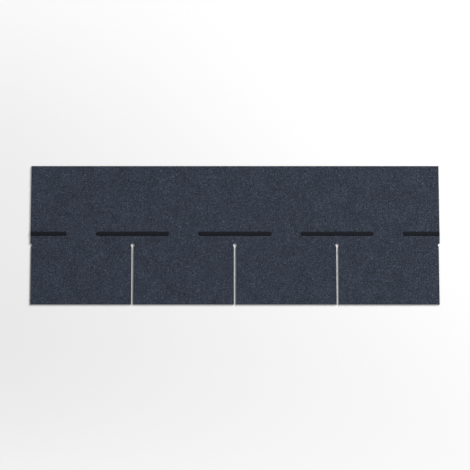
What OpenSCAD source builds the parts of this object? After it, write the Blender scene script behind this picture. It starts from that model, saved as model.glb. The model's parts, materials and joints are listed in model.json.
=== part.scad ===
// Asphalt strip shingle with square tabs, lying flat with its granule face up.
// X runs along the course, Y climbs from the butt edge of the tabs to the top edge,
// and Z rises from the back of the sheet. The origin is the middle of the back.

/* [Sheet] */
// Length of the strip along the course
strip_length = 1000; // [600:5:1200]
// Height of the strip from its butt edge to its top edge
strip_height = 340; // [300:1:450]
// Thickness of the coated sheet, to the tops of its granules
sheet_thickness = 3; // [2:0.1:6]

/* [Tabs] */
// Number of tabs along the strip
tab_count = 4; // [2:1:6]
// Height of the tabs that stays in view when the next course is laid
exposure = 145; // [100:1:160]

/* [Cut-outs] */
// Width of the slot between two tabs
slot_width = 5; // [3:0.5:12]
// Diameter of the round relief that heads each slot
relief_diameter = 9; // [4:0.5:20]

/* [Self-seal adhesive] */
// Bare length between two adhesive dashes
dash_gap = 70; // [40:1:80]
// Width of an adhesive dash across the strip
dash_width = 12; // [6:0.5:16]
// Height of an adhesive dash at its crown
dash_height = 0.8; // [0.4:0.1:2.5]
// Distance from the line of the slot heads up to the dashes
dash_rise = 22; // [11:0.5:40]

/* [Hidden] */
$fn = 64;

// The adhesive is applied over every slot, before the sheet is cut into strips
dash_names = [for (i = [0:tab_count]) str("seal_dash_", i + 1)];

tab_pitch = strip_length / tab_count;
butt_y = -strip_height / 2;
slot_head_y = butt_y + exposure;
dash_y = slot_head_y + dash_rise + dash_width / 2;
dash_length = tab_pitch - dash_gap;
// Radius of the arc that spans the dash's width and rises to its crown
dash_crown_r = (pow(dash_width / 2, 2) + pow(dash_height, 2)) / (2 * dash_height);
// Facets of the crown's wide arc, of which a dash shows only a sliver
crown_facets = 360;
// Overlap that carries a cutting shape clear of the face it cuts
clear = 1;

// Middle of a slot along the strip. The first and the last lie on the strip's ends.
function slot_x(i) = -strip_length / 2 + i * tab_pitch;

// Keyhole outline, open below the butt edge, with its head on the origin
module slot_outline() {
    translate([-slot_width / 2, -exposure - clear])
        square([slot_width, exposure + clear]);
    circle(d = relief_diameter);
}

// Cut outline of the strip: half a slot at each end, a whole one between tabs
module sheet_outline() {
    difference() {
        square([strip_length, strip_height], center = true);
        for (i = [0:tab_count])
            translate([slot_x(i), slot_head_y]) slot_outline();
    }
}

module shingle_sheet() {
    color("#363b47")
        linear_extrude(sheet_thickness) sheet_outline();
}

// Low bead of adhesive along X, on Z = 0, with an arched section and domed ends
module bead() {
    straight = dash_length - dash_width;
    intersection() {
        translate([0, 0, dash_height - dash_crown_r]) {
            rotate([0, 90, 0])
                cylinder(r = dash_crown_r, h = straight, center = true, $fn = crown_facets);
            for (side = [-1, 1])
                translate([side * straight / 2, 0, 0])
                    sphere(r = dash_crown_r, $fn = crown_facets);
        }
        linear_extrude(dash_height + clear) {
            square([straight, dash_width], center = true);
            for (side = [-1, 1])
                translate([side * straight / 2, 0]) circle(d = dash_width);
        }
    }
}

// Adhesive dash over one slot. Those over the strip's ends are cut through with it.
module seal_dash(i) {
    color("#17181b")
        intersection() {
            translate([slot_x(i), dash_y, sheet_thickness]) bead();
            translate([-strip_length / 2, butt_y, sheet_thickness])
                cube([strip_length, strip_height, dash_height + clear]);
        }
}

shingle_sheet();
for (i = [0:tab_count])
    seal_dash(i);
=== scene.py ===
"""Asphalt strip shingle with four square tabs, lying on a white floor with its granule face up.

The sheet is built as the real one is: a sanded and coated sheet with a knife-cut outline, a cover of
granules pressed into its coating, and dashes of self-seal adhesive laid over the granules.
"""

import json
import logging
import math
import random
from collections.abc import Iterator
from dataclasses import dataclass
from enum import Enum
from typing import Any

import bmesh
import bpy
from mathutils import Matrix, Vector, noise
from mathutils.geometry import delaunay_2d_cdt

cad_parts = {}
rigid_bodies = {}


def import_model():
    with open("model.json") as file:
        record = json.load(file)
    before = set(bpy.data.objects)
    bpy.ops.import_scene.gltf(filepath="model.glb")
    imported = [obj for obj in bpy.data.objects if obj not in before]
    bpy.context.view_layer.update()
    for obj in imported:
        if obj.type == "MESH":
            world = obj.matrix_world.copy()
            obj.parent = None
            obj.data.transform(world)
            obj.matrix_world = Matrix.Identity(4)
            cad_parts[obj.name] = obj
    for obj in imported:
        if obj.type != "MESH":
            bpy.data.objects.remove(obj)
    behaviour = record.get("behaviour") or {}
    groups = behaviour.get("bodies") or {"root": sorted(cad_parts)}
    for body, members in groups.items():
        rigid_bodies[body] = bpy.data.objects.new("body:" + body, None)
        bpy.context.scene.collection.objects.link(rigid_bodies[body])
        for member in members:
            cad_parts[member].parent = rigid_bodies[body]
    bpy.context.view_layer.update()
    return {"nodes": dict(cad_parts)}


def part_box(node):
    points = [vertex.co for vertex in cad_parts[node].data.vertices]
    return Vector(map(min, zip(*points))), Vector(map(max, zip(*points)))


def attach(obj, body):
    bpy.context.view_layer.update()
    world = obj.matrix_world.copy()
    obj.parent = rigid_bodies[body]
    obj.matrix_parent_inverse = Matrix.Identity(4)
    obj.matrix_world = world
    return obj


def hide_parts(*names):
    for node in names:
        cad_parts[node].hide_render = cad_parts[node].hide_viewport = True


LOG = logging.getLogger("shingle")
MM = 0.001
# The construction's one body, and the node of its sheet. The other nodes are the adhesive dashes.
BODY = "root"
SHEET = "shingle_sheet"
# Name of the UV map that a piece's colours can be baked through
BAKE_MAP = "OFBake"
# Attributes of each granule: one random number, and the place of its middle
TONE = "tone"
MIDDLE = "middle"
# How far the granules stand out of the coating
GRANULE_RISE = 0.75 * MM


class Slot(Enum):
    """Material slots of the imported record."""

    GRANULES = "granule_face"
    ADHESIVE = "seal_adhesive"


class Field(Enum):
    """The two fields of the face: the tabs that stay in view, and the headlap that is covered."""

    TAB = "tab"
    HEADLAP = "headlap"


def linear(hex_colour: str) -> tuple[float, float, float, float]:
    """Turns an sRGB hex colour into the linear colour that the shaders take.

    Args:
        hex_colour: Six hex digits after a hash sign.

    Returns:
        Linear red, green and blue, and an alpha of 1.
    """
    shares = [int(hex_colour[i : i + 2], 16) / 255 for i in (1, 3, 5)]
    red, green, blue = (s / 12.92 if s <= 0.04045 else ((s + 0.055) / 1.055) ** 2.4 for s in shares)
    return red, green, blue, 1.0


def open_socket(
    sockets: bpy.types.NodeInputs | bpy.types.NodeOutputs, key: str | int
) -> bpy.types.NodeSocket:
    """Finds a node's socket, passing over those that the node's settings have switched off.

    Args:
        sockets: The inputs or outputs of a node.
        key: The socket's name, or its place in the list where names repeat.

    Returns:
        The socket.
    """
    if isinstance(key, int):
        return sockets[key]
    return next(s for s in sockets if s.name == key and s.enabled)


def add_node(
    tree: bpy.types.NodeTree, kind: str, feeds: dict[str | int, Any] | None = None, **settings: Any
) -> bpy.types.Node:
    """Adds a node to a tree, sets it up and links it.

    Args:
        tree: The tree that gets the node.
        kind: The node's type name.
        feeds: What each input takes, by socket name or place: a socket, a node, whose first output
            in use is taken, or a constant.
        **settings: The node's own properties.

    Returns:
        The new node.
    """
    node = tree.nodes.new(kind)
    for name, setting in settings.items():
        setattr(node, name, setting)
    for key, feed in (feeds or {}).items():
        socket = open_socket(node.inputs, key)
        if isinstance(feed, bpy.types.Node):
            feed = next(s for s in feed.outputs if s.enabled)
        if isinstance(feed, bpy.types.NodeSocket):
            tree.links.new(feed, socket)
        else:
            socket.default_value = feed
    return node


def new_material(name: str) -> bpy.types.Material:
    """Makes a node material with an empty tree.

    Args:
        name: The material's name.

    Returns:
        The material.
    """
    material = bpy.data.materials.new(name)
    material.use_nodes = True
    material.node_tree.nodes.clear()
    return material


def new_object(name: str, mesh: bpy.types.Mesh) -> bpy.types.Object:
    """Puts a mesh into the scene, at the origin.

    Args:
        name: The object's name.
        mesh: Its mesh.

    Returns:
        The object.
    """
    piece = bpy.data.objects.new(name, mesh)
    bpy.context.scene.collection.objects.link(piece)
    return piece


def mesh_of(bm: bmesh.types.BMesh, name: str) -> bpy.types.Mesh:
    """Writes an edit mesh out as a mesh and frees it.

    Args:
        bm: The edit mesh.
        name: The mesh's name.

    Returns:
        The mesh.
    """
    mesh = bpy.data.meshes.new(name)
    bm.to_mesh(mesh)
    bm.free()
    return mesh


def fill(outline: list[Vector]) -> list[list[int]]:
    """Divides the inside of a closed outline into triangles.

    Args:
        outline: Points round the outline, anticlockwise.

    Returns:
        The corners of each triangle, as places in the outline.
    """
    tolerance = 1e-4 * MM
    inside_only = 1
    _, _, triangles, origins, _, _ = delaunay_2d_cdt(
        outline, [], [range(len(outline))], inside_only, tolerance
    )
    return [[origins[corner][0] for corner in triangle] for triangle in triangles]


def mount(piece: bpy.types.Object, slot: Slot, node: str) -> None:
    """Fixes a finished piece to the shingle.

    Args:
        piece: The piece.
        slot: The record's material slot that its finish stands for. It is not used.
        node: The construction node that it stands for.
    """
    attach(piece, BODY)
    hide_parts(node)


@dataclass(frozen=True)
class Finish:
    """A finish. Each kind adds the nodes that its surface needs, and feeds the shader with them."""

    name: str
    ior: float
    specular: float

    def inputs(self, tree: bpy.types.NodeTree) -> dict[str, Any]:
        """Adds the nodes of the surface.

        Args:
            tree: The material's tree.

        Returns:
            What each input of the shader takes, apart from those of its shine.
        """
        raise NotImplementedError

    def material(self) -> bpy.types.Material:
        """Builds the material.

        Returns:
            The material, named for the finish.
        """
        material = new_material(self.name)
        tree = material.node_tree
        shine = {"IOR": self.ior, "Specular IOR Level": self.specular}
        shader = add_node(tree, "ShaderNodeBsdfPrincipled", self.inputs(tree) | shine)
        add_node(tree, "ShaderNodeOutputMaterial", {"Surface": shader})
        return material


@dataclass(frozen=True)
class GranuleFinish(Finish):
    """Crushed basalt with a fired ceramic coat.

    The coat is matt and blue-grey. Each granule takes it a little differently, so that the face is
    speckled close by and faintly clouded from afar.
    """

    name: str = "ceramic_coated_basalt"
    ior: float = 1.5
    # The coat is porous, which dulls its shine
    specular: float = 0.12
    darkest: str = "#333842"
    # The paler colours, each with the share of the granules that are darker
    paler: tuple[tuple[float, str], ...] = (
        (0.30, "#393f4c"),
        (0.70, "#3f4756"),
        (0.96, "#495161"),
        (1.0, "#626a79"),
    )
    cloud_size: float = 38 * MM
    cloud_detail: float = 3.0
    # Noise values that give the darkest and the palest clouds, and by what share those differ from even
    cloud_ends: tuple[float, float] = (0.3, 0.7)
    cloud_depth: float = 0.12
    # Of the palest and of the darkest granules
    roughness: tuple[float, float] = (0.62, 0.82)

    def inputs(self, tree: bpy.types.NodeTree) -> dict[str, Any]:
        """Adds the nodes that pick each granule's shade and cloud the whole face.

        Args:
            tree: The material's tree.

        Returns:
            What each input of the shader takes.
        """
        tone = add_node(tree, "ShaderNodeAttribute", attribute_name=TONE).outputs["Fac"]
        ramp = add_node(tree, "ShaderNodeValToRGB", {"Fac": tone})
        stops = ramp.color_ramp.elements
        stops.remove(stops[-1])
        stops[0].color = linear(self.darkest)
        for share, colour in self.paler:
            stops.new(share).color = linear(colour)
        place = add_node(tree, "ShaderNodeTexCoord").outputs["Object"]
        cloud = add_node(
            tree,
            "ShaderNodeTexNoise",
            {"Vector": place, "Scale": 1 / self.cloud_size, "Detail": self.cloud_detail},
        )
        shade = add_node(
            tree,
            "ShaderNodeMapRange",
            {
                "Value": cloud,
                "From Min": self.cloud_ends[0],
                "From Max": self.cloud_ends[1],
                "To Min": 1 - self.cloud_depth,
                "To Max": 1 + self.cloud_depth,
            },
        )
        colour = add_node(tree, "ShaderNodeVectorMath", {0: ramp, "Scale": shade}, operation="SCALE")
        roughness = add_node(
            tree,
            "ShaderNodeMapRange",
            {"Value": tone, "To Min": self.roughness[1], "To Max": self.roughness[0]},
        )
        return {"Base Color": colour, "Roughness": roughness}


@dataclass(frozen=True)
class BitumenFinish(Finish):
    """Oxidised bitumen, filled with limestone dust.

    It is a dull black. The coating shows only as dark seams between the granules.
    """

    name: str = "filled_bitumen_coating"
    ior: float = 1.55
    specular: float = 0.15
    colour: str = "#151517"
    dusty_colour: str = "#232326"
    # Fine grit that sits between the granules
    grit_size: float = 0.9 * MM
    grit_detail: float = 2.0
    grit_height: float = 0.3 * MM
    roughness: float = 0.7

    def inputs(self, tree: bpy.types.NodeTree) -> dict[str, Any]:
        """Adds the nodes of the grit.

        Args:
            tree: The material's tree.

        Returns:
            What each input of the shader takes.
        """
        place = add_node(tree, "ShaderNodeTexCoord").outputs["Object"]
        grit = add_node(
            tree,
            "ShaderNodeTexNoise",
            {"Vector": place, "Scale": 1 / self.grit_size, "Detail": self.grit_detail},
        )
        colour = add_node(
            tree,
            "ShaderNodeMix",
            {"Factor": grit, "A": linear(self.colour), "B": linear(self.dusty_colour)},
            data_type="RGBA",
        )
        bump = add_node(tree, "ShaderNodeBump", {"Height": grit, "Distance": self.grit_height})
        return {"Base Color": colour, "Roughness": self.roughness, "Normal": bump}


@dataclass(frozen=True)
class CutEdgeFinish(Finish):
    """Bitumen sheet cut with a knife.

    The cut is black and slightly torn, with the paler threads of the glass mat in a line at mid height.
    """

    name: str = "knife_cut_bitumen"
    ior: float = 1.55
    specular: float = 0.25
    colour: str = "#121214"
    mat_colour: str = "#4d4a43"
    mat_height: float = 1.2 * MM
    mat_depth: float = 0.45 * MM
    thread_length: float = 4 * MM
    thread_detail: float = 4.0
    tear_size: float = 0.8 * MM
    tear_detail: float = 2.0
    tear_height: float = 0.25 * MM
    roughness: float = 0.62

    def inputs(self, tree: bpy.types.NodeTree) -> dict[str, Any]:
        """Adds the nodes of the glass mat's threads and of the torn cut.

        Args:
            tree: The material's tree.

        Returns:
            What each input of the shader takes.
        """
        place = add_node(tree, "ShaderNodeTexCoord").outputs["Object"]
        height = add_node(tree, "ShaderNodeSeparateXYZ", {"Vector": place}).outputs["Z"]
        above_mat = add_node(
            tree, "ShaderNodeMath", {0: height, 1: self.mat_height}, operation="SUBTRACT"
        )
        off_mat = add_node(tree, "ShaderNodeMath", {0: above_mat}, operation="ABSOLUTE")
        in_mat = add_node(
            tree,
            "ShaderNodeMapRange",
            {"Value": off_mat, "From Max": self.mat_depth, "To Min": 1.0, "To Max": 0.0},
        )
        threads = add_node(
            tree,
            "ShaderNodeTexNoise",
            {"Vector": place, "Scale": 1 / self.thread_length, "Detail": self.thread_detail},
        )
        mat = add_node(tree, "ShaderNodeMath", {0: in_mat, 1: threads}, operation="MULTIPLY")
        colour = add_node(
            tree,
            "ShaderNodeMix",
            {"Factor": mat, "A": linear(self.colour), "B": linear(self.mat_colour)},
            data_type="RGBA",
        )
        tear = add_node(
            tree,
            "ShaderNodeTexNoise",
            {"Vector": place, "Scale": 1 / self.tear_size, "Detail": self.tear_detail},
        )
        bump = add_node(tree, "ShaderNodeBump", {"Height": tear, "Distance": self.tear_height})
        return {"Base Color": colour, "Roughness": self.roughness, "Normal": bump}


@dataclass(frozen=True)
class SandedBackFinish(Finish):
    """Bitumen dusted with parting sand, so that strips don't stick in the bundle.

    The sand makes it a dry, speckled grey. The grains are drawn coarser than real ones, to show.
    """

    name: str = "sanded_bitumen"
    ior: float = 1.5
    specular: float = 0.3
    colour: str = "#2b2a29"
    sand_colour: str = "#7d786f"
    grain_size: float = 1.6 * MM
    grain_height: float = 0.3 * MM
    roughness: float = 0.85

    def inputs(self, tree: bpy.types.NodeTree) -> dict[str, Any]:
        """Adds the nodes of the grains, each with a shade of its own.

        Args:
            tree: The material's tree.

        Returns:
            What each input of the shader takes.
        """
        place = add_node(tree, "ShaderNodeTexCoord").outputs["Object"]
        grains = add_node(tree, "ShaderNodeTexVoronoi", {"Vector": place, "Scale": 1 / self.grain_size})
        colour = add_node(
            tree,
            "ShaderNodeMix",
            {
                "Factor": grains.outputs["Color"],
                "A": linear(self.colour),
                "B": linear(self.sand_colour),
            },
            data_type="RGBA",
        )
        bump = add_node(
            tree,
            "ShaderNodeBump",
            {"Height": grains.outputs["Distance"], "Distance": self.grain_height},
            invert=True,
        )
        return {"Base Color": colour, "Roughness": self.roughness, "Normal": bump}


@dataclass(frozen=True)
class AdhesiveFinish(Finish):
    """Hot-melt bitumen with rubber, laid as a bead.

    It sets with a skin: nearly black and dull, with faint ripples.
    """

    name: str = "hot_melt_bitumen"
    ior: float = 1.6
    # A film of dust leaves it hardly any shine
    specular: float = 0.01
    colour: str = "#1f2126"
    ripple_size: float = 2 * MM
    ripple_detail: float = 3.0
    ripple_height: float = 0.25 * MM
    roughness: tuple[float, float] = (0.55, 0.8)

    def inputs(self, tree: bpy.types.NodeTree) -> dict[str, Any]:
        """Adds the nodes of the ripples.

        Args:
            tree: The material's tree.

        Returns:
            What each input of the shader takes.
        """
        place = add_node(tree, "ShaderNodeTexCoord").outputs["Object"]
        ripple = add_node(
            tree,
            "ShaderNodeTexNoise",
            {"Vector": place, "Scale": 1 / self.ripple_size, "Detail": self.ripple_detail},
        )
        roughness = add_node(
            tree,
            "ShaderNodeMapRange",
            {"Value": ripple, "To Min": self.roughness[0], "To Max": self.roughness[1]},
        )
        bump = add_node(tree, "ShaderNodeBump", {"Height": ripple, "Distance": self.ripple_height})
        return {"Base Color": linear(self.colour), "Roughness": roughness, "Normal": bump}


@dataclass(frozen=True)
class StripOutline:
    """Cut outline of the strip, seen from above, with a keyhole slot between every two tabs."""

    length: float
    height: float
    tab_count: int
    # Height of the tabs that stays in view, up to the middles of the slots' heads
    exposure: float = 145 * MM
    slot_width: float = 5 * MM
    relief_diameter: float = 9 * MM
    step: float = 2 * MM
    # Steps round a slot's head are this share of the others
    arc_step: float = 0.5

    @property
    def butt_y(self) -> float:
        """Place of the tabs' lower edge."""
        return -self.height / 2

    @property
    def slot_head_y(self) -> float:
        """Place of the slots' round heads."""
        return self.butt_y + self.exposure

    def slot_x(self, index: int) -> float:
        """Middle of a slot. The first and the last lie on the strip's ends."""
        return -self.length / 2 + index * self.length / self.tab_count

    def head(self, index: int) -> list[Vector]:
        """Round head of a slot, from its left to its right, or half of it at an end of the strip.

        Args:
            index: The slot's number, from the left.

        Returns:
            Points along the arc.
        """
        radius = self.relief_diameter / 2
        foot = math.asin(self.slot_width / 2 / radius)
        top = math.pi / 2
        first = top if index == 0 else 3 * top - foot
        last = top if index == self.tab_count else foot - top
        count = math.ceil((first - last) * radius / (self.step * self.arc_step))
        angles = [first + (last - first) * i / count for i in range(count + 1)]
        centre = Vector((self.slot_x(index), self.slot_head_y))
        return [centre + radius * Vector((math.cos(a), math.sin(a))) for a in angles]

    def corners(self) -> Iterator[Vector]:
        """Runs once round the outline, anticlockwise from the left end's half slot.

        Yields:
            The outline's corners, and the points of its arcs.
        """
        wall = self.slot_width / 2
        for index in range(self.tab_count + 1):
            if index > 0:
                yield Vector((self.slot_x(index) - wall, self.butt_y))
            yield from self.head(index)
            if index < self.tab_count:
                yield Vector((self.slot_x(index) + wall, self.butt_y))
        yield Vector((self.length / 2, self.height / 2))
        yield Vector((-self.length / 2, self.height / 2))

    def points(self) -> list[Vector]:
        """Divides the outline into short steps.

        Returns:
            Points round the outline, anticlockwise.
        """
        corners = list(self.corners())
        points = []
        for here, there in zip(corners, corners[1:] + corners[:1]):
            parts = max(1, round((there - here).length / self.step))
            points += [here.lerp(there, i / parts) for i in range(parts)]
        return points


@dataclass
class CoatedSheet:
    """The sheet under the granules: glass mat, bitumen coating, knife-cut edges and sanded back."""

    outline: StripOutline
    top: float
    edge_rows: int = 5
    # How far the cut wanders, over what length, and how its noise is shifted for the second axis
    tear: float = 0.14 * MM
    tear_length: float = 3 * MM
    tear_shift: Vector = Vector((0.0, 0.0, 40.0))

    def torn(self, point: Vector, height: float) -> Vector:
        """Moves a point of the cut edge a little out of line.

        Args:
            point: The point, on the outline.
            height: Its height over the floor.

        Returns:
            The point's new place, at the same height.
        """
        place = Vector((point.x, point.y, height))
        here = place / self.tear_length
        stray = Vector((noise.noise(here), noise.noise(here + self.tear_shift), 0.0))
        return place + stray * self.tear

    def build(self) -> bpy.types.Object:
        """Builds the closed sheet, with a material each for its top, its edges and its back.

        Returns:
            The finished piece.
        """
        top_slot, edge_slot, back_slot = range(3)
        bm = bmesh.new()
        points = self.outline.points()
        heights = [self.top * i / self.edge_rows for i in range(self.edge_rows + 1)]
        rows = [[bm.verts.new(self.torn(p, z)) for p in points] for z in heights]
        for lower, upper in zip(rows, rows[1:]):
            for i in range(len(points)):
                edge = bm.faces.new((lower[i - 1], lower[i], upper[i], upper[i - 1]))
                edge.material_index = edge_slot
        for corners in fill(points):
            bm.faces.new([rows[-1][i] for i in corners]).material_index = top_slot
            bm.faces.new([rows[0][i] for i in reversed(corners)]).material_index = back_slot
        sheet = new_object("coated_sheet", mesh_of(bm, "coated_sheet"))
        for finish in (BitumenFinish(), CutEdgeFinish(), SandedBackFinish()):
            sheet.data.materials.append(finish.material())
        mount(sheet, Slot.GRANULES, SHEET)
        return sheet


@dataclass(frozen=True)
class Chip:
    """An angular chip of crushed rock, of about unit radius: a jagged foot under a smaller crown."""

    foot_corners: int = 4
    foot_height: float = -0.2
    foot_reach: tuple[float, float] = (0.8, 1.15)
    crown_corners: int = 3
    crown_height: float = 0.4
    crown_reach: tuple[float, float] = (0.4, 0.75)
    # How far a corner strays from its even place: round its ring, in steps, and in height
    swing: float = 0.25
    stray: float = 0.1

    def ring(
        self, draw: random.Random, corners: int, height: float, reach: tuple[float, float]
    ) -> Iterator[Vector]:
        """Draws one ring of corners.

        Args:
            draw: Where the random numbers come from.
            corners: How many corners the ring has.
            height: Its height.
            reach: The least and the most that a corner lies from the middle.

        Yields:
            The corners.
        """
        turn = draw.uniform(0, math.tau)
        for i in range(corners):
            angle = turn + (i + draw.uniform(-self.swing, self.swing)) * math.tau / corners
            out = draw.uniform(*reach)
            rise = height + draw.uniform(-self.stray, self.stray)
            yield Vector((out * math.cos(angle), out * math.sin(angle), rise))

    def mesh(self, name: str, seed: int) -> bpy.types.Mesh:
        """Makes one chip.

        Args:
            name: The mesh's name.
            seed: What its shape is drawn from.

        Returns:
            A closed mesh.
        """
        draw = random.Random(seed)
        bm = bmesh.new()
        for point in self.ring(draw, self.foot_corners, self.foot_height, self.foot_reach):
            bm.verts.new(point)
        for point in self.ring(draw, self.crown_corners, self.crown_height, self.crown_reach):
            bm.verts.new(point)
        hull = bmesh.ops.convex_hull(bm, input=bm.verts)
        bmesh.ops.delete(bm, geom=hull["geom_interior"], context="VERTS")
        bmesh.ops.recalc_face_normals(bm, faces=bm.faces)
        return mesh_of(bm, name)


@dataclass
class GranuleCover:
    """Granules pressed into the coating, scattered over the face and split into fields.

    Real granules are 1 to 1.7 mm across. To keep their number down they are drawn about 2 mm apart, and
    large enough to overlap.
    """

    outline: StripOutline
    bed_height: float
    # The least distance between the middles of two granules
    spacing: float = 1.46 * MM
    radius: float = 1.75 * MM
    # Smallest and largest granule, as shares of that radius
    size_spread: tuple[float, float] = (0.75, 1.1)
    tilt: float = math.radians(14)
    chip_kinds: int = 12
    seed: int = 7
    # Points that are tried for each place that a granule could take
    tries: float = 4.0
    # Share of the bake map's width that a field takes up
    map_share: float = 0.98

    def bed(self) -> bpy.types.Mesh:
        """Makes the flat bed that the granules are scattered on.

        Returns:
            The bed, with the strip's outline.
        """
        points = self.outline.points()
        mesh = bpy.data.meshes.new("granule_bed")
        mesh.from_pydata([(p.x, p.y, self.bed_height) for p in points], [], fill(points))
        return mesh

    def share_of_field(
        self, tree: bpy.types.NodeTree, given: bpy.types.NodeOutputs, place: bpy.types.Node
    ) -> bpy.types.Node:
        """Adds the nodes that say how far across the field a place lies.

        Args:
            tree: The scatter's tree.
            given: The tree's inputs.
            place: The node that gives the place.

        Returns:
            The node that gives the share along each axis, from 0 to 1 inside the field.
        """
        low = given["Low Corner"]
        size = add_node(
            tree, "ShaderNodeVectorMath", {0: given["High Corner"], 1: low}, operation="SUBTRACT"
        )
        off_corner = add_node(tree, "ShaderNodeVectorMath", {0: place, 1: low}, operation="SUBTRACT")
        return add_node(tree, "ShaderNodeVectorMath", {0: off_corner, 1: size}, operation="DIVIDE")

    def points_in_field(
        self, tree: bpy.types.NodeTree, given: bpy.types.NodeOutputs
    ) -> bpy.types.NodeSocket:
        """Adds the nodes that scatter points over the bed and keep those of one field.

        Args:
            tree: The scatter's tree.
            given: The tree's inputs.

        Returns:
            The socket that gives the points.
        """
        points = add_node(
            tree,
            "GeometryNodeDistributePointsOnFaces",
            {
                "Mesh": given["Bed"],
                "Distance Min": given["Spacing"],
                "Density Max": given["Density"],
                "Seed": given["Seed"],
            },
            distribute_method="POISSON",
        )
        share = self.share_of_field(tree, given, add_node(tree, "GeometryNodeInputPosition"))
        cell = add_node(tree, "ShaderNodeVectorMath", {0: share}, operation="FLOOR")
        in_field = add_node(
            tree,
            "FunctionNodeCompare",
            {"A": cell, "B": (0.0, 0.0, 0.0)},
            data_type="VECTOR",
            mode="ELEMENT",
            operation="EQUAL",
        )
        kept = add_node(
            tree,
            "GeometryNodeSeparateGeometry",
            {"Geometry": points, "Selection": in_field},
            domain="POINT",
        )
        return kept.outputs["Selection"]

    def chips_on(
        self, tree: bpy.types.NodeTree, given: bpy.types.NodeOutputs, points: bpy.types.NodeSocket
    ) -> bpy.types.Node:
        """Adds the nodes that set a chip on each point, with a turn, a size and a tone of its own.

        Args:
            tree: The scatter's tree.
            given: The tree's inputs.
            points: The socket that gives the points.

        Returns:
            The node that gives the chips as instances.
        """
        kinds = add_node(
            tree,
            "GeometryNodeCollectionInfo",
            {"Collection": given["Chips"], "Separate Children": True, "Reset Children": True},
        )
        draws = {
            "kind": ("INT", {"Max": given["Last Chip"]}),
            "turn": ("FLOAT_VECTOR", {"Min": given["Least Turn"], "Max": given["Most Turn"]}),
            "size": ("FLOAT", {"Min": given["Smallest"], "Max": given["Largest"]}),
            "tone": ("FLOAT", {}),
        }
        drawn = {
            name: add_node(tree, "FunctionNodeRandomValue", {**limits, "Seed": seed}, data_type=kind)
            for seed, (name, (kind, limits)) in enumerate(draws.items(), start=1)
        }
        chips = add_node(
            tree,
            "GeometryNodeInstanceOnPoints",
            {
                "Points": points,
                "Instance": kinds,
                "Pick Instance": True,
                "Instance Index": drawn["kind"],
                "Rotation": drawn["turn"],
                "Scale": drawn["size"],
            },
        )
        place = add_node(tree, "GeometryNodeInputPosition")
        for name, kind, value in ((TONE, "FLOAT", drawn["tone"]), (MIDDLE, "FLOAT_VECTOR", place)):
            chips = add_node(
                tree,
                "GeometryNodeStoreNamedAttribute",
                {"Geometry": chips, "Name": name, "Value": value},
                data_type=kind,
                domain="INSTANCE",
            )
        return chips

    def trimmed(
        self, tree: bpy.types.NodeTree, given: bpy.types.NodeOutputs, granules: bpy.types.Node
    ) -> bpy.types.Node:
        """Adds the nodes that end granules flush with the edge, because the knife cuts them too.

        Args:
            tree: The scatter's tree.
            given: The tree's inputs.
            granules: The node that gives the granules.

        Returns:
            The node that gives the trimmed granules.
        """
        place = add_node(tree, "GeometryNodeInputPosition")
        nearest = add_node(tree, "GeometryNodeProximity", {0: given["Bed"]}, target_element="FACES")
        off_bed = add_node(tree, "ShaderNodeVectorMath", {0: place, 1: nearest}, operation="SUBTRACT")
        upright = (0.0, 0.0, 1.0)
        flush = add_node(
            tree, "ShaderNodeVectorMath", {0: off_bed, 1: upright, 2: nearest}, operation="MULTIPLY_ADD"
        )
        return add_node(tree, "GeometryNodeSetPosition", {"Geometry": granules, "Position": flush})

    def mapped(
        self, tree: bpy.types.NodeTree, given: bpy.types.NodeOutputs, granules: bpy.types.Node
    ) -> bpy.types.Node:
        """Adds the nodes that lay the bake map out from above.

        Each granule's patch is shrunk about its middle, to keep clear of its neighbours' patches.

        Args:
            tree: The scatter's tree.
            given: The tree's inputs.
            granules: The node that gives the granules.

        Returns:
            The node that gives the mapped granules.
        """
        middle = add_node(
            tree, "GeometryNodeInputNamedAttribute", {"Name": MIDDLE}, data_type="FLOAT_VECTOR"
        )
        place = add_node(tree, "GeometryNodeInputPosition")
        shrunk = add_node(
            tree,
            "ShaderNodeMix",
            {"Factor": given["Patch Share"], "A": middle, "B": place},
            data_type="VECTOR",
        )
        share = self.share_of_field(tree, given, shrunk)
        margin = (1 - self.map_share) / 2
        on_map = add_node(
            tree,
            "ShaderNodeVectorMath",
            {0: share, 1: (self.map_share,) * 3, 2: (margin,) * 3},
            operation="MULTIPLY_ADD",
        )
        mapped = add_node(
            tree,
            "GeometryNodeStoreNamedAttribute",
            {"Geometry": granules, "Name": BAKE_MAP, "Value": on_map},
            data_type="FLOAT2",
            domain="CORNER",
        )
        return add_node(tree, "GeometryNodeRemoveAttribute", {"Geometry": mapped, "Name": MIDDLE})

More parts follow.
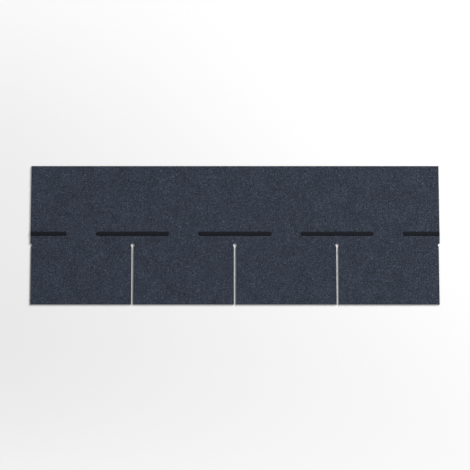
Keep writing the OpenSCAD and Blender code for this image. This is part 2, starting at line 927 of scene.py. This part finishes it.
    def tree(self) -> bpy.types.NodeTree:
        """Builds the Geometry Nodes tree that scatters chips over one field of the bed.

        Returns:
            The tree, whose inputs are the field's corners, the chips and their sizes.
        """
        tree = bpy.data.node_groups.new("granule_scatter", "GeometryNodeTree")
        inputs = {
            "Bed": "NodeSocketGeometry",
            "Low Corner": "NodeSocketVector",
            "High Corner": "NodeSocketVector",
            "Spacing": "NodeSocketFloat",
            "Density": "NodeSocketFloat",
            "Smallest": "NodeSocketFloat",
            "Largest": "NodeSocketFloat",
            "Patch Share": "NodeSocketFloat",
            "Least Turn": "NodeSocketVector",
            "Most Turn": "NodeSocketVector",
            "Last Chip": "NodeSocketInt",
            "Seed": "NodeSocketInt",
            "Chips": "NodeSocketCollection",
            "Material": "NodeSocketMaterial",
        }
        for name, kind in inputs.items():
            tree.interface.new_socket(name, in_out="INPUT", socket_type=kind)
        tree.interface.new_socket("Granules", in_out="OUTPUT", socket_type="NodeSocketGeometry")
        given = add_node(tree, "NodeGroupInput").outputs
        chips = self.chips_on(tree, given, self.points_in_field(tree, given))
        granules = add_node(tree, "GeometryNodeRealizeInstances", {"Geometry": chips})
        granules = self.mapped(tree, given, self.trimmed(tree, given, granules))
        dressed = add_node(
            tree, "GeometryNodeSetMaterial", {"Geometry": granules, "Material": given["Material"]}
        )
        add_node(tree, "NodeGroupOutput", {"Granules": dressed})
        return tree

    def corners_of(self, field: Field, index: int) -> tuple[Vector, Vector]:
        """Gives the box of a field over one tab.

        Args:
            field: Tab or headlap.
            index: The tab's number, from the left.

        Returns:
            Its lowest and highest corners, with the bed's height between them.
        """
        low_y, high_y = self.outline.butt_y, self.outline.slot_head_y
        if field is Field.HEADLAP:
            low_y, high_y = high_y, self.outline.height / 2
        low = Vector((self.outline.slot_x(index), low_y, self.bed_height - self.radius))
        return low, Vector((self.outline.slot_x(index + 1), high_y, self.bed_height + self.radius))

    def scatter(
        self, name: str, bed: bpy.types.Mesh, tree: bpy.types.NodeTree, values: dict[str, Any]
    ) -> bpy.types.Object:
        """Scatters the granules of one field.

        Args:
            name: The piece's name.
            bed: The bed that they lie on.
            tree: The scatter's tree.
            values: What each of the tree's inputs takes, by name.

        Returns:
            The finished piece.
        """
        piece = new_object(name, bed)
        modifier = piece.modifiers.new("scatter", "NODES")
        modifier.node_group = tree
        for item in tree.interface.items_tree:
            if item.name in values:
                modifier[item.identifier] = values[item.name]
        graph = bpy.context.evaluated_depsgraph_get()
        mesh = bpy.data.meshes.new_from_object(
            piece.evaluated_get(graph), preserve_all_data_layers=True, depsgraph=graph
        )
        piece.modifiers.remove(modifier)
        piece.data = mesh
        mesh.name = name
        mount(piece, Slot.GRANULES, SHEET)
        return piece

    def build(self) -> list[bpy.types.Object]:
        """Builds the granules of every field.

        Returns:
            The finished pieces.
        """
        chips = bpy.data.collections.new("chips")
        for index in range(self.chip_kinds):
            name = f"chip_{index}"
            mesh = Chip().mesh(name, self.seed * self.chip_kinds + index)
            chips.objects.link(bpy.data.objects.new(name, mesh))
        smallest, largest = (self.radius * s for s in self.size_spread)
        values = {
            "Spacing": self.spacing,
            "Density": self.tries / self.spacing**2,
            "Smallest": smallest,
            "Largest": largest,
            "Patch Share": self.spacing / (2 * largest),
            "Least Turn": (-self.tilt, -self.tilt, 0.0),
            "Most Turn": (self.tilt, self.tilt, math.tau),
            "Last Chip": self.chip_kinds - 1,
            "Seed": self.seed,
            "Chips": chips,
            "Material": GranuleFinish().material(),
        }
        tree, bed, pieces = self.tree(), self.bed(), []
        for field in Field:
            for index in range(self.outline.tab_count):
                low, high = self.corners_of(field, index)
                corners = {"Low Corner": low, "High Corner": high}
                name = f"{field.value}_granules_{index + 1}"
                pieces.append(self.scatter(name, bed, tree, values | corners))
        for chip in list(chips.objects):
            bpy.data.objects.remove(chip)
        bpy.data.collections.remove(chips)
        return pieces


@dataclass
class SealDash:
    """A bead of self-seal adhesive, laid over the granules and cut through at the strip's ends."""

    node: str
    bed_height: float
    strip_length: float
    step: float = 0.7 * MM
    columns: int = 20
    # How far the bead's sides wander, and over what length
    wander: float = 0.8 * MM
    wander_length: float = 11 * MM
    # Height and length of the lumps that the granules below make
    lump: float = 0.45 * MM
    lump_length: float = 2.6 * MM
    # Powers that shape the section: the first flattens its crown, the second steepens its sides
    crown_power: float = 2.4
    side_power: float = 0.6

    def stations(self, low: float, high: float, radius: float) -> Iterator[tuple[float, float]]:
        """Gives the places of the sections along the bead, and each one's share of the full width.

        Args:
            low: The bead's lower end along the strip.
            high: Its higher end.
            radius: Radius of its round ends.

        Yields:
            The place and the share, which falls to nearly nothing at a round end and stays at 1 at a
            cut one.
        """
        least = 0.01
        reach = self.strip_length / 2 - self.step
        count = round((high - low) / self.step)
        for i in range(count + 1):
            x = low + (high - low) * i / count
            ends = [x - low] * (low > -reach) + [high - x] * (high < reach)
            off_centre = 1 - min([*ends, radius]) / radius
            yield x, max(math.sqrt(1 - off_centre**2), least)

    def section(self, x: float, share: float, low: Vector, high: Vector) -> Iterator[Vector]:
        """Draws one section across the bead.

        Args:
            x: Its place along the strip.
            share: Its share of the bead's full width.
            low: The lowest corner of the bead's box.
            high: The highest corner of it.

        Yields:
            The section's points, from the bead's lower side over its crown to the other side.
        """
        half_width, middle = (high.y - low.y) / 2, (high.y + low.y) / 2
        rise = high.z - self.bed_height
        for j in range(self.columns + 1):
            across = 2 * j / self.columns - 1
            side = low.y if across < 0 else high.y
            stray = self.wander * noise.noise(Vector((x, side, 0)) / self.wander_length)
            y = middle + across * (half_width + stray) * share
            arch = (1 - abs(across) ** self.crown_power) ** self.side_power * math.sqrt(share)
            lump = self.lump * noise.noise(Vector((x, y, 0)) / self.lump_length)
            yield Vector((x, y, self.bed_height + (rise + lump) * arch))

    def build(self, finish: bpy.types.Material) -> bpy.types.Object:
        """Builds the closed bead.

        Args:
            finish: The adhesive's material.

        Returns:
            The finished piece.
        """
        low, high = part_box(self.node)
        bm = bmesh.new()
        rows = [
            [bm.verts.new(point) for point in self.section(x, share, low, high)]
            for x, share in self.stations(low.x, high.x, (high.y - low.y) / 2)
        ]
        ring = list(range(self.columns + 1))
        for here, there in zip(rows, rows[1:]):
            for j, k in zip(ring, ring[1:] + ring[:1]):
                bm.faces.new((here[j], there[j], there[k], here[k])).smooth = True
        bm.faces.new(rows[0])
        bm.faces.new(rows[-1][::-1])
        bmesh.ops.recalc_face_normals(bm, faces=bm.faces)
        name = self.node.replace("seal", "adhesive")
        bead = new_object(name, mesh_of(bm, name))
        bead.data.materials.append(finish)
        mount(bead, Slot.ADHESIVE, self.node)
        return bead


@dataclass
class Studio:
    """White floor, soft light from the upper right and a camera that looks down on the strip."""

    outline: StripOutline
    # Share of the picture's width that the strip takes up
    strip_share: float = 0.87
    camera_distance: float = 2.9
    camera_elevation: float = math.radians(84.5)
    # Low enough for the thin sheet to cast a shadow that shows
    key_place: Vector = Vector((3.6, 3.1, 2.7))
    key_size: float = 1.8
    key_power: float = 412.0
    world_colour: str = "#ffffff"
    world_strength: float = 0.28
    # Strength at which the floor's glow and the world are seen as plain white
    white_strength: float = 1.0
    floor_size: float = 14.0
    floor_colour: str = "#fafafa"
    # Share of that white in what is seen of the floor, beside the strip and at the glow's reach from it
    floor_glow: tuple[float, float] = (0.2, 1.0)
    glow_reach: float = 0.8

    def backdrop_rays(self, tree: bpy.types.NodeTree) -> bpy.types.Node:
        """Adds the nodes that pick out the rays that see the backdrop as white.

        Args:
            tree: The tree of the floor's material or of the world.

        Returns:
            The node that gives 1 for rays from the camera and from gloss or glass, and 0 for others.
        """
        path = add_node(tree, "ShaderNodeLightPath").outputs
        mirrored = add_node(
            tree,
            "ShaderNodeMath",
            {0: path["Is Glossy Ray"], 1: path["Is Transmission Ray"]},
            operation="MAXIMUM",
        )
        return add_node(
            tree, "ShaderNodeMath", {0: path["Is Camera Ray"], 1: mirrored}, operation="MAXIMUM"
        )

    def floor(self) -> None:
        """Lays the floor, which is seen as white, with the strip's shadow round the strip."""
        bm = bmesh.new()
        bmesh.ops.create_grid(bm, x_segments=1, y_segments=1, size=self.floor_size / 2)
        floor = new_object("floor", mesh_of(bm, "floor"))
        material = new_material("white_paper")
        tree = material.node_tree
        place = add_node(tree, "ShaderNodeTexCoord").outputs["Object"]
        from_middle = add_node(tree, "ShaderNodeVectorMath", {0: place}, operation="ABSOLUTE")
        half_strip = (self.outline.length / 2, self.outline.height / 2, 0.0)
        past_side = add_node(
            tree, "ShaderNodeVectorMath", {0: from_middle, 1: half_strip}, operation="SUBTRACT"
        )
        off_strip = add_node(
            tree, "ShaderNodeVectorMath", {0: past_side, 1: (0.0, 0.0, 0.0)}, operation="MAXIMUM"
        )
        gap = add_node(tree, "ShaderNodeVectorMath", {0: off_strip}, operation="LENGTH")
        near, far = self.floor_glow
        glow_here = add_node(
            tree,
            "ShaderNodeMapRange",
            {"Value": gap, "From Max": self.glow_reach, "To Min": near, "To Max": far},
            interpolation_type="SMOOTHSTEP",
        )
        clear_of_strip = add_node(tree, "ShaderNodeMath", {0: gap, 1: 0.0}, operation="GREATER_THAN")
        glow_seen = add_node(
            tree,
            "ShaderNodeMath",
            {0: clear_of_strip, 1: self.backdrop_rays(tree)},
            operation="MULTIPLY",
        )
        glow_share = add_node(
            tree, "ShaderNodeMath", {0: glow_here, 1: glow_seen}, operation="MULTIPLY"
        )
        paper = add_node(tree, "ShaderNodeBsdfDiffuse", {"Color": linear(self.floor_colour)})
        glow = add_node(tree, "ShaderNodeEmission", {"Strength": self.white_strength})
        seen = add_node(tree, "ShaderNodeMixShader", {"Fac": glow_share, 1: paper, 2: glow})
        add_node(tree, "ShaderNodeOutputMaterial", {"Surface": seen})
        floor.data.materials.append(material)

    def lights(self) -> None:
        """Sets up the key lamp, and a world that fills in the shade and is seen as white."""
        lamp = bpy.data.lights.new("key", "AREA")
        lamp.shape = "SQUARE"
        lamp.size = self.key_size
        lamp.energy = self.key_power
        key = bpy.data.objects.new("key", lamp)
        key.location = self.key_place
        key.rotation_euler = (-self.key_place).to_track_quat("-Z", "Y").to_euler()
        bpy.context.scene.collection.objects.link(key)
        world = bpy.data.worlds.new("studio")
        world.use_nodes = True
        tree = world.node_tree
        tree.nodes.clear()
        strength = add_node(
            tree,
            "ShaderNodeMapRange",
            {
                "Value": self.backdrop_rays(tree),
                "To Min": self.world_strength,
                "To Max": self.white_strength,
            },
        )
        sky = add_node(
            tree, "ShaderNodeBackground", {"Color": linear(self.world_colour), "Strength": strength}
        )
        add_node(tree, "ShaderNodeOutputWorld", {"Surface": sky})
        bpy.context.scene.world = world

    def camera(self) -> None:
        """Places the camera above the strip, tipped a little towards its butt edge."""
        lens = bpy.data.cameras.new("camera")
        lens.lens = lens.sensor_width * self.camera_distance * self.strip_share / self.outline.length
        camera = bpy.data.objects.new("camera", lens)
        tip = self.camera_elevation
        back = Vector((0, -math.cos(tip), math.sin(tip)))
        camera.location = back * self.camera_distance
        camera.rotation_euler = (-back).to_track_quat("-Z", "Y").to_euler()
        bpy.context.scene.collection.objects.link(camera)
        bpy.context.scene.camera = camera

    def build(self) -> None:
        """Builds the whole studio."""
        self.floor()
        self.lights()
        self.camera()
        bpy.context.scene.view_settings.view_transform = "Standard"


def main() -> None:
    """Builds the shingle around the frame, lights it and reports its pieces."""
    logging.basicConfig(level=logging.INFO, format="%(name)s %(message)s")
    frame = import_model()
    low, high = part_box(SHEET)
    # A dash lies over each slot, and over the half slot at each end
    dashes = sorted(node for node in frame["nodes"] if node != SHEET)
    outline = StripOutline(
        length=high.x - low.x, height=high.y - low.y, tab_count=len(dashes) - 1
    )
    coating_height = high.z - GRANULE_RISE
    Studio(outline).build()
    pieces = [CoatedSheet(outline, coating_height).build()]
    pieces += GranuleCover(outline, coating_height).build()
    adhesive = AdhesiveFinish().material()
    pieces += [SealDash(dash, coating_height, outline.length).build(adhesive) for dash in dashes]
    for piece in pieces:
        piece.data.calc_loop_triangles()
        LOG.info("%s: %d triangles", piece.name, len(piece.data.loop_triangles))


if __name__ == "__main__":
    main()
